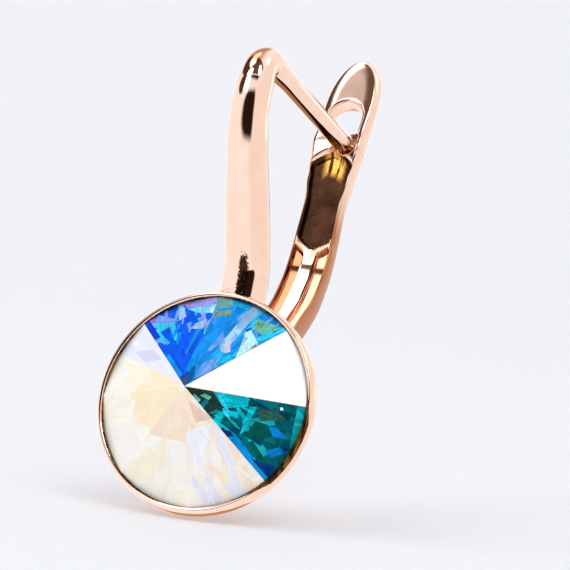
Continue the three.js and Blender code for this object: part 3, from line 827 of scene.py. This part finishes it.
# %% The shards of each wedge
HUES = {
    "royal": "#0A63F6", "azure": "#1294F2", "deep blue": "#0848DC", "blue": "#0A7CC8",
    "bright blue": "#0C96E4", "navy": "#063A78", "sky": "#6FA8FB", "pale blue": "#9CCBF8", "ice": "#86D6FF",
    "white ice": "#C2F4FF", "aqua": "#34CFF4", "cyan": "#1AB4EE", "turquoise": "#10C4D8", "teal": "#16A9B4",
    "mint": "#8CF2E0", "lavender": "#A9A4FA", "violet": "#8A7BE6", "lilac": "#D6D8F4", "smoke": "#7C6B62",
    "sea grey": "#6FA6A4", "olive": "#7E9C78", "sea green": "#66C4AE", "moss": "#33564C", "peat": "#2C5A54",
    "bottle": "#045A50", "petrol": "#04646E", "pale lilac": "#EAEEFA", "white lilac": "#F5F8FD",
    "honey": "#FEEDC8", "straw": "#FDF3DC", "peach": "#FEE9D0", "tan": "#EED0B8", "cream": "#FBF9EC",
    "shell": "#FAF4EC", "white": "#FFFEFA", "cerulean": "#2BA0EE", "deep teal": "#034E5E",
}
# The wedges go round from the right-hand side, against the clock. The first wedge's white is the painted
# highlight of the softbox on the right, and the cream and shell wedges are painted reflections of the white
# tent.
BASE_HUES = ["white", "azure", "royal", "cream", "cream", "cream", "shell", "petrol"]
# A shard is its hue and its corners: how far across its wedge, and how far out from the crown's point.
SHARDS = {
    0: [
        ("peach", (0.05, 0.45), (0, 0.45), (0, 0.03), (0.3, 0.03)),
    ],
    1: [
        ("sea grey", (1, 1), (0.836, 1), (0.796, 0.91), (1, 0.84)),
        ("olive", (1, 0.81), (0.776, 0.88), (0.746, 0.82), (1, 0.76)),
        ("cyan", (0.816, 0.93), (0.796, 0.97), (0.586, 0.97), (0.596, 0.92)),
        ("azure", (0.856, 0.75), (0.646, 0.83), (0.536, 0.72), (0.516, 0.55)),
        ("pale blue", (0.576, 0.97), (0.456, 0.97), (0.326, 0.42), (0.576, 0.5)),
        ("lilac", (0.516, 0.55), (0.446, 0.59), (0.256, 0.5), (0.316, 0.43)),
        ("sea green", (0.396, 0.89), (0.056, 0.98), (0.136, 0.8), (0.336, 0.79)),
        ("olive", (0.366, 0.86), (0.266, 0.89), (0.236, 0.84), (0.296, 0.82)),
        ("deep blue", (0.406, 0.74), (0.346, 0.8), (0.306, 0.73)),
        ("white ice", (0.356, 0.72), (0.336, 0.77), (0, 0.72), (0, 0.49)),
        ("cyan", (0.426, 0.45), (0, 0.5), (0, 0.33), (0.506, 0.33)),
        ("sky", (0.626, 0.27), (0.306, 0.42), (0, 0.26), (0.256, 0.1)),
        ("tan", (0.012, 0.7), (-0.1, 0.7), (-0.1, 0), (0.012, 0)),
    ],
    2: [
        ("lavender", (0.496, 1), (0.036, 1), (0.006, 0.91), (0.416, 0.92)),
        ("ice", (0.426, 0.91), (0, 0.91), (0, 0.81), (0.256, 0.83)),
        ("white ice", (0.076, 0.87), (0, 0.88), (0, 0.81), (0.056, 0.81)),
        ("violet", (1, 1), (0.816, 1), (0.546, 0.8), (0.716, 0.82)),
        ("sky", (0.806, 0.99), (0.536, 0.8), (0.886, 0.91)),
        ("aqua", (0.906, 0.91), (0.566, 0.79), (0.876, 0.77)),
        ("deep blue", (1, 1), (0.926, 0.98), (0.896, 0.71), (1, 0.72)),
        ("pale blue", (0.546, 1), (0.486, 1), (0.426, 0.82), (0.546, 0.8)),
        ("pale blue", (0.356, 0.66), (0.256, 0.71), (0.066, 0.74), (0.106, 0.63)),
        ("lavender", (0.076, 0.68), (0, 0.76), (0, 0.6), (0.016, 0.56)),
        ("aqua", (0.056, 0.59), (0, 0.69), (0, 0.56)),
        ("sky", (1, 0.71), (0.886, 0.68), (0.826, 0.57)),
        ("azure", (0.156, 0.36), (0, 0.56), (0, 0.16), (0.356, 0.18)),
        ("smoke", (1, 0.1), (0, 0.13), (0, 0), (1, 0)),
    ],
    3: [
        ("pale lilac", (0, 1), (0, 0), (0.456, 1)),
        ("white lilac", (0.256, 1), (0.176, 0.92), (0.216, 0.83), (0.296, 0.95)),
        ("lilac", (0.336, 0.83), (0.126, 0.66), (0.106, 0.47), (0.386, 0.63)),
        ("honey", (0.436, 0.6), (0.256, 0.06), (1, 0.06), (1, 0.6)),
        ("straw", (0.516, 0.8), (0.436, 0.54), (0.856, 0.4), (0.806, 0.75)),
        ("white lilac", (0.586, 0.87), (0.606, 0.78), (0.786, 0.75), (0.706, 0.83)),
    ],
    4: [
        ("honey", (0, 0.66), (0, 0.05), (1, 0.08), (1, 0.5), (0.5, 0.62)),
        ("cream", (0.116, 0.62), (0.196, 0.58), (0.476, 0.67), (0.356, 0.7)),
        ("shell", (0.356, 0.94), (0.496, 0.67), (1, 0.67), (1, 0.95)),
    ],
    5: [
        ("peach", (0, 0.55), (0, 0.05), (1, 0.05), (1, 0.46)),
        ("white lilac", (0.546, 0.52), (0.826, 0.47), (0.756, 0.67)),
        ("straw", (0.056, 0.95), (0.156, 0.62), (0.456, 0.66), (0.406, 0.9)),
    ],
    6: [
        ("peach", (0, 0.4), (0, 0.03), (1, 0.03), (0.556, 0.2)),
        ("tan", (0.326, 0.12), (0.696, 0.16), (1, 0.34), (0.406, 0.3)),
        ("white lilac", (0, 0.37), (0.886, 0.36), (0.586, 0.47), (0.186, 0.72)),
        ("pale lilac", (0.876, 0.36), (1, 0.47), (0.816, 0.76), (0.656, 0.69)),
        ("straw", (0.806, 0.73), (0.906, 0.88), (0.706, 0.92)),
        ("pale lilac", (0.496, 0.85), (0.676, 0.82), (0.596, 0.94)),
    ],
    7: [
        ("moss", (0, 0), (1, 0), (1, 0.26), (0.456, 0.36), (0, 0.32)),
        ("mint", (0.006, 0.1), (0.306, 0.1), (0.256, 0.17), (0, 0.17)),
        ("mint", (0.466, 0.14), (0.736, 0.17), (0.706, 0.23), (0.506, 0.22)),
        ("teal", (0, 0.19), (0.446, 0.2), (0.416, 0.23), (0, 0.23)),
        ("turquoise", (1, 0.26), (1, 0.52), (0.796, 0.52), (0.526, 0.36)),
        ("aqua", (1, 0.23), (1, 0.28), (0.526, 0.4), (0.566, 0.33)),
        ("turquoise", (0, 0.29), (0.346, 0.31), (0.396, 0.37)),
        ("turquoise", (0, 0.35), (0.376, 0.37), (0, 0.42)),
        ("aqua", (0.496, 0.34), (0.536, 0.38), (0.316, 0.46), (0.366, 0.38)),
        ("turquoise", (1, 0.47), (1, 0.52), (0.796, 0.53), (0.776, 0.49)),
        ("turquoise", (0.806, 0.54), (0.846, 0.6), (0.316, 0.59), (0.206, 0.58)),
        ("teal", (1, 1), (0.456, 1), (0.506, 0.95), (1, 0.92)),
        ("peat", (0.826, 0.61), (0.886, 0.74), (0.786, 0.85), (0.616, 0.65)),
        ("bottle", (0.596, 0.62), (0.646, 0.89), (0.436, 0.76), (0.256, 0.62)),
        ("blue", (0.606, 0.73), (0.636, 0.8), (0.566, 0.92), (0.496, 0.8)),
        ("blue", (0.296, 0.82), (0.426, 0.89), (0.406, 0.95), (0.236, 0.88)),
        ("bright blue", (0, 0.53), (0.166, 0.55), (0.056, 0.98), (0, 0.98)),
        ("navy", (0, 0.44), (0.136, 0.51), (0.116, 0.56), (0, 0.53)),
        ("navy", (0.456, 0.87), (0.466, 0.96), (0.396, 0.94)),
        ("navy", (0.056, 0.78), (0.206, 0.96), (0.056, 0.98)),
        ("white", (0.926, 0.78), (0.941, 0.8), (0.906, 0.81), (0.891, 0.79)),
    ],
}
# A bright line where the girdle catches the light, in short pieces so that it follows the rim.
RIM_PIECE, LINE_IN, LINE_OUT = 0.125, 0.985, 1.01
SHARDS[7] += [("pale blue", (a, LINE_IN), (a, LINE_OUT), (a + RIM_PIECE, LINE_OUT), (a + RIM_PIECE, LINE_IN))
              for a in np.arange(0, 1, RIM_PIECE)]


# %% Cut the wedges along the shards' edges
def wedge_point(sector, across, out):
    angle = math.radians(FACET_TURN + 45 * (sector + across))
    return (STONE_RADIUS * out * math.cos(angle), STONE_RADIUS * out * math.sin(angle))


def signed_area(polygon):
    return sum(a[0] * b[1] - b[0] * a[1] for a, b in zip(polygon, polygon[1:] + polygon[:1])) / 2


def side_of(polygon, a, b, keep):
    """The part of a convex polygon on one side of the line from a to b."""
    def height(p):
        return keep * ((b[0] - a[0]) * (p[1] - a[1]) - (b[1] - a[1]) * (p[0] - a[0]))
    kept = []
    for p, q in zip(polygon, polygon[1:] + polygon[:1]):
        hp, hq = height(p), height(q)
        if hp >= 0:
            kept.append(p)
        if hp * hq < 0:
            t = hp / (hp - hq)
            kept.append((p[0] + (q[0] - p[0]) * t, p[1] + (q[1] - p[1]) * t))
    return kept if len(kept) > 2 and abs(signed_area(kept)) > 1e-5 else None


def shatter(cells, shard, hue):
    if signed_area(shard) < 0:
        shard = shard[::-1]
    result = []
    for polygon, old_hue in cells:
        inside, outside = polygon, []
        for a, b in zip(shard, shard[1:] + shard[:1]):
            rest = side_of(inside, a, b, -1)
            if rest:
                outside.append((rest, old_hue))
            inside = side_of(inside, a, b, 1)
            if inside is None:
                break
        result += outside + [(inside, hue or old_hue)] if inside else [(polygon, old_hue)]
    return result


# %% Scatter slivers over the wedges before the named shards, and cut everything
SCATTER = rows_of(
    "sector count long out hues",
    (1, 46, 1.5, (0.1, 1), ("", "", "sky", "", "aqua", "cerulean")),
    (2, 34, 1.6, (0.62, 1), ("", "sky", "", "lavender", "", "aqua")),
    (2, 14, 1.8, (0.1, 0.7), ("", "", "azure")),
    (3, 22, 2.0, (0.1, 1), ("", "shell", "", "straw")),
    (4, 20, 2.6, (0.1, 1), ("", "straw", "", "shell")),
    (5, 20, 2.6, (0.1, 1), ("", "straw", "", "shell")),
    (6, 32, 2.2, (0.2, 1), ("", "pale lilac", "", "peach", "straw")),
    (7, 40, 1.1, (0.1, 0.62), ("", "teal", "", "deep teal", "turquoise")),
    (7, 22, 1.8, (0.62, 1), ("", "deep teal", "", "bottle", "teal")),
)
# How much the shards of a wedge differ in brightness.
CONTRAST = [0.0, 0.3, 0.22, 0.03, 0.02, 0.03, 0.05, 0.35]
dice = np.random.default_rng(11)


def sliver(sector, long, limits):
    """A thin kite that points roughly away from the crown's point."""
    across, out = dice.uniform(0.02, 0.98), math.sqrt(dice.uniform(limits[0] ** 2, limits[1] ** 2))
    middle = np.array(wedge_point(sector, across, out))
    angle = math.radians(FACET_TURN + 45 * (sector + across)) + dice.normal(0, 0.35)
    along = np.array([math.cos(angle), math.sin(angle)]) * long * dice.uniform(0.4, 1) / 2
    wide = np.array([-along[1], along[0]]) * dice.uniform(0.1, 0.4)
    tail = dice.uniform(0.05, 0.7)
    return [tuple(p) for p in (middle - along - wide * tail, middle + along - wide, middle + along + wide,
                               middle - along + wide * tail)]


cells = []
for sector, base in enumerate(BASE_HUES):
    rim = [wedge_point(sector, a, 1) for a in np.linspace(0, 1, 17)]
    parts = [([(0.0, 0.0), *rim], base)]
    for row in SCATTER:
        for i in range(row["count"] * (row["sector"] == sector)):
            hue = row["hues"][i % len(row["hues"])]
            parts = shatter(parts, sliver(sector, row["long"], row["out"]), hue)
    for hue, *corners in SHARDS.get(sector, []):
        parts = shatter(parts, [wedge_point(sector, *corner) for corner in corners], hue)
    cells += [(sector, polygon, hue) for polygon, hue in parts]
print(f"crown cut into {len(cells)} shards")

# %% The crown, girdle and pavilion as one stone
def crown_depth(sector, x, z):
    middle = math.radians(FACET_TURN + 45 * (sector + 0.5))
    return (x * math.cos(middle) + z * math.sin(middle)) * crown_slope - CROWN_POINT


stone_points, stone_faces, stone_hues = [], [], []


def add_face(corners, hue, contrast=0.0):
    start = len(stone_points)
    stone_points.extend(corners)
    stone_faces.append(list(range(start, len(stone_points))))
    stone_hues.append((hue, contrast))


for sector, polygon, hue in cells:
    add_face([(x, crown_depth(sector, x, z), z) for x, z in polygon], hue, CONTRAST[sector])
for sector in range(CROWN_FACETS):
    rim = [wedge_point(sector, a, 1) for a in np.linspace(0, 1, 17)]
    for (x1, z1), (x2, z2) in zip(rim, rim[1:]):
        add_face([(x1, crown_depth(sector, x1, z1), z1), (x2, crown_depth(sector, x2, z2), z2),
                  (x2, girdle_back, z2), (x1, girdle_back, z1)], "white ice")
for k in range(PAVILION_FACETS):
    a, b = (2 * math.pi * (k + i) / PAVILION_FACETS for i in (0, 1))
    edge = [(STONE_RADIUS * math.cos(t), girdle_back, STONE_RADIUS * math.sin(t))
            for t in np.linspace(a, b, 5)]
    add_face([(0, culet, 0), *edge], "pale blue")

# %% [markdown]
# ## Coated crystal
# Glass is a dielectric with an index near 1.52 and a fire-polished, perfectly clear surface. Under it the
# foil returns each shard's colour, which drifts a little across the stone as the coating's thickness does.
# The clear coat carries the sharp outer reflection.

# %% The coated glass
# The coating's thickness drifts over a millimetre or two.
DRIFTS_PER_METRE = 700.0
crystal, tree, shader = new_material("iridescent_coated_glass")
hue = add(tree, "ShaderNodeVertexColor", layer_name="shard_hue")
place = add(tree, "ShaderNodeTexCoord").outputs["Object"]
drift = add(tree, "ShaderNodeTexNoise", {"Vector": place, "Scale": DRIFTS_PER_METRE, "Detail": 3.0})
turn = add(tree, "ShaderNodeMapRange", {"Value": drift.outputs["Fac"], "To Min": 0.49, "To Max": 0.51})
bright = add(tree, "ShaderNodeMapRange", {"Value": drift.outputs["Fac"], "To Min": 0.98, "To Max": 1.08})
shifted = add(tree, "ShaderNodeHueSaturation", {
    "Color": hue.outputs["Color"], "Hue": turn.outputs["Result"], "Value": bright.outputs["Result"]})
tree.links.new(shifted.outputs["Color"], shader.inputs["Base Color"])
shader.inputs["Roughness"].default_value = 0.12
shader.inputs["IOR"].default_value = 1.52
shader.inputs["Specular IOR Level"].default_value = 0.0  # the clear coat alone carries the outer reflection
shader.inputs["Coat Weight"].default_value = 1.0
shader.inputs["Coat Roughness"].default_value = 0.01
shader.inputs["Coat IOR"].default_value = 1.52

# %% The stone, each shard a little brighter to one side
BRIGHTER_PER_METRE, DARKEST, BRIGHTEST = 1200, 0.4, 1.6
stone = make_piece("crystal_shards", stone_points, stone_faces, crystal,
                   "setting", "crystal")
stone.data.shade_flat()
layer = stone.data.color_attributes.new("shard_hue", "FLOAT_COLOR", "CORNER")
for face, (name, contrast) in zip(stone.data.polygons, stone_hues):
    lit, way = 1 + contrast * dice.uniform(-1, 1), dice.uniform(0, 2 * math.pi)
    rise = Vector((math.cos(way), 0, math.sin(way))) * contrast * BRIGHTER_PER_METRE
    for corner in face.loop_indices:
        place_in_cell = stone.data.vertices[stone.data.loops[corner].vertex_index].co - face.center
        strength = min(BRIGHTEST, max(DARKEST, lit + rise.dot(place_in_cell)))
        layer.data[corner].color = [strength * part for part in linear(HUES[name])[:3]] + [1]
